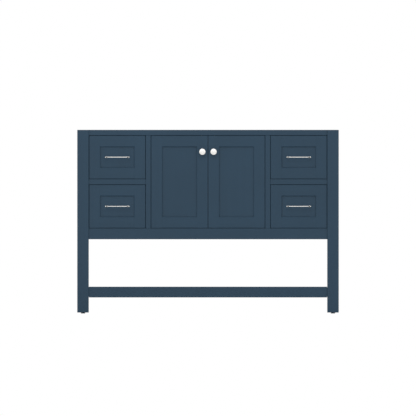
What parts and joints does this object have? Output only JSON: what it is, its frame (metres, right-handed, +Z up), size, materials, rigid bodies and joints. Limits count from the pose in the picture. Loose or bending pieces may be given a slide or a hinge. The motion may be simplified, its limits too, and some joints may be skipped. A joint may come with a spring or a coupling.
{
  "type": "bathroom vanity cabinet",
  "caption": "Freestanding bathroom vanity cabinet on square legs: a pair of panelled doors between two columns of drawers, with an open lower shelf and no worktop.",
  "frame": {"origin": "on the floor, below the middle of the whole cabinet's box, handles included", "axes": "+X to the viewer's right along the width, +Y from the front to the back, +Z up; the doors face -Y"},
  "size_m": [1.1938, 0.567, 0.8382],
  "materials": {
    "navy_paint": "satin lacquer, dark slate blue",
    "birch_plywood": "clear lacquered birch",
    "satin_nickel": "satin nickel plate",
    "hinge_nickel": "bright nickel plate",
    "runner_zinc": "zinc plate",
    "black_nylon": "moulded nylon"
  },
  "bodies": {
    "frame": {"front_left_post": "navy_paint", "front_right_post": "navy_paint", "rear_left_post": "navy_paint", "rear_right_post": "navy_paint", "top_rail": "navy_paint", "bottom_rail": "navy_paint", "left_mullion": "navy_paint", "right_mullion": "navy_paint", "left_divider_rail": "navy_paint", "right_divider_rail": "navy_paint", "left_side_panel": "navy_paint", "right_side_panel": "navy_paint", "left_partition": "navy_paint", "right_partition": "navy_paint", "left_stretcher": "navy_paint", "right_stretcher": "navy_paint", "cabinet_floor": "navy_paint", "back_panel": "navy_paint", "rear_top_rail": "navy_paint", "front_stretcher": "navy_paint", "rear_stretcher": "navy_paint", "shelf_board": "navy_paint", "left_upper_hinge_arm": "hinge_nickel", "left_lower_hinge_arm": "hinge_nickel", "right_upper_hinge_arm": "hinge_nickel", "right_lower_hinge_arm": "hinge_nickel", "upper_left_inner_runner": "runner_zinc", "upper_left_outer_runner": "runner_zinc", "upper_right_inner_runner": "runner_zinc", "upper_right_outer_runner": "runner_zinc", "lower_left_inner_runner": "runner_zinc", "lower_left_outer_runner": "runner_zinc", "lower_right_inner_runner": "runner_zinc", "lower_right_outer_runner": "runner_zinc"},
    "left_door": {"left_door_frame": "navy_paint", "left_door_panel": "navy_paint", "left_door_knob": "satin_nickel", "left_upper_hinge_cup": "hinge_nickel", "left_lower_hinge_cup": "hinge_nickel"},
    "right_door": {"right_door_frame": "navy_paint", "right_door_panel": "navy_paint", "right_door_knob": "satin_nickel", "right_upper_hinge_cup": "hinge_nickel", "right_lower_hinge_cup": "hinge_nickel"},
    "upper_left_drawer": {"upper_left_drawer_front": "navy_paint", "upper_left_drawer_box": "birch_plywood", "upper_left_drawer_pull": "satin_nickel"},
    "upper_right_drawer": {"upper_right_drawer_front": "navy_paint", "upper_right_drawer_box": "birch_plywood", "upper_right_drawer_pull": "satin_nickel"},
    "lower_left_drawer": {"lower_left_drawer_front": "navy_paint", "lower_left_drawer_box": "birch_plywood", "lower_left_drawer_pull": "satin_nickel"},
    "lower_right_drawer": {"lower_right_drawer_front": "navy_paint", "lower_right_drawer_box": "birch_plywood", "lower_right_drawer_pull": "satin_nickel"},
    "front_left_foot": {"front_left_leveller": "black_nylon"},
    "front_right_foot": {"front_right_leveller": "black_nylon"},
    "rear_left_foot": {"rear_left_leveller": "black_nylon"},
    "rear_right_foot": {"rear_right_leveller": "black_nylon"}
  },
  "joints": [
    {"name": "left_door_hinge", "type": "hinge", "parent": "frame", "child": "left_door", "pos_m": [-0.2592, -0.25855, 0.60105], "axis": [0, 0, -1], "range_deg": [0, 90]},
    {"name": "right_door_hinge", "type": "hinge", "parent": "frame", "child": "right_door", "pos_m": [0.2592, -0.25855, 0.60105], "axis": [0, 0, 1], "range_deg": [0, 90]},
    {"name": "upper_left_drawer_slide", "type": "slide", "parent": "frame", "child": "upper_left_drawer", "axis": [0, -1, 0], "range_m": [0, 0.36]},
    {"name": "upper_right_drawer_slide", "type": "slide", "parent": "frame", "child": "upper_right_drawer", "axis": [0, -1, 0], "range_m": [0, 0.36]},
    {"name": "lower_left_drawer_slide", "type": "slide", "parent": "frame", "child": "lower_left_drawer", "axis": [0, -1, 0], "range_m": [0, 0.36]},
    {"name": "lower_right_drawer_slide", "type": "slide", "parent": "frame", "child": "lower_right_drawer", "axis": [0, -1, 0], "range_m": [0, 0.36]},
    {"name": "front_left_foot_screw", "type": "slide", "parent": "frame", "child": "front_left_foot", "axis": [0, 0, -1], "range_m": [0, 0.01]},
    {"name": "front_right_foot_screw", "type": "slide", "parent": "frame", "child": "front_right_foot", "axis": [0, 0, -1], "range_m": [0, 0.01]},
    {"name": "rear_left_foot_screw", "type": "slide", "parent": "frame", "child": "rear_left_foot", "axis": [0, 0, -1], "range_m": [0, 0.01]},
    {"name": "rear_right_foot_screw", "type": "slide", "parent": "frame", "child": "rear_right_foot", "axis": [0, 0, -1], "range_m": [0, 0.01]}
  ]
}
